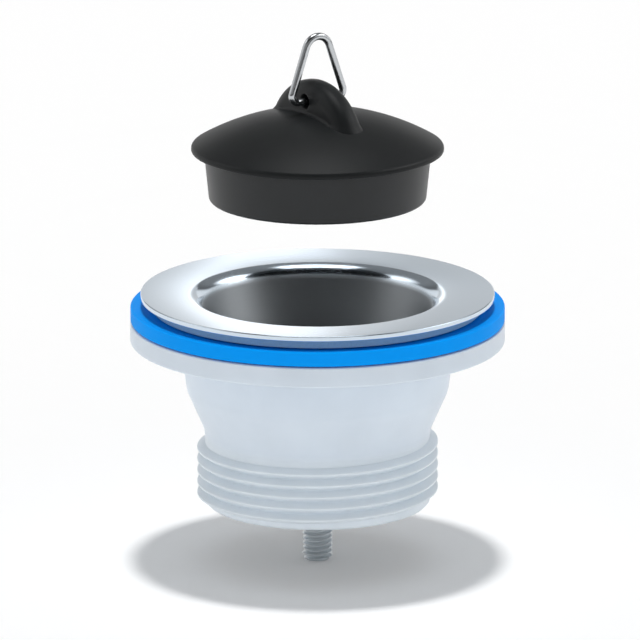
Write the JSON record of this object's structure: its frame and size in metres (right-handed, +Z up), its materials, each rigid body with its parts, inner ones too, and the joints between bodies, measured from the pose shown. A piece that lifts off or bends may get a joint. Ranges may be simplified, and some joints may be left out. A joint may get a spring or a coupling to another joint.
{
  "type": "sink drain fitting",
  "caption": "Kitchen sink waste: pressed steel strainer dish and rubber plug with a wire link over a gasket and a threaded plastic outlet, clamped by a centre screw.",
  "frame": {"origin": "on the axis of the drain, at the level where the steel rim's lowest edge meets the sink", "axes": "+Z is up along the drain's axis, out of the sink; X is the axis of the hole in the plug's lug, about which the wire link swings; Y runs along the lug"},
  "size_m": [0.0742, 0.0742, 0.1073],
  "materials": {
    "polished_stainless_steel": "pressed and polished stainless sheet",
    "closed_cell_foam": "matt, light blue-grey closed-cell foam",
    "blue_rubber": "soft moulded, low sheen",
    "natural_polypropylene": "natural milky moulding, satin",
    "machined_brass": "machined, bright",
    "stainless_screw_steel": "rolled thread, satin",
    "black_rubber": "moulded, soft sheen",
    "bright_wire": "bright drawn wire"
  },
  "bodies": {
    "outlet": {"outlet_body": "natural_polypropylene", "rim_gasket": "blue_rubber", "captive_nut": "machined_brass"},
    "dish": {"strainer_dish": "polished_stainless_steel", "top_seal": "closed_cell_foam"},
    "screw": {"centre_screw": "stainless_screw_steel"},
    "plug": {"plug": "black_rubber"},
    "link": {"plug_link": "bright_wire"}
  },
  "joints": [
    {"name": "clamp_travel", "type": "slide", "parent": "outlet", "child": "dish", "axis": [0, 0, 1], "range_m": [0, 0.01]},
    {"name": "screw_turn", "type": "hinge", "parent": "dish", "child": "screw", "pos_m": [0, 0, -0.01887], "axis": [0, 0, 1], "range_deg": [0, 3600]},
    {"name": "plug_lift", "type": "slide", "parent": "dish", "child": "plug", "axis": [0, 0, 1], "range_m": [-0.0291, 0]},
    {"name": "link_swing", "type": "hinge", "parent": "plug", "child": "link", "pos_m": [0, 0, 0.03991], "axis": [1, 0, 0], "range_deg": [-85, 85]}
  ],
  "couplings": [
    {"joint": "screw_turn", "follows": "clamp_travel", "rad_per_m": 6283.2}
  ]
}
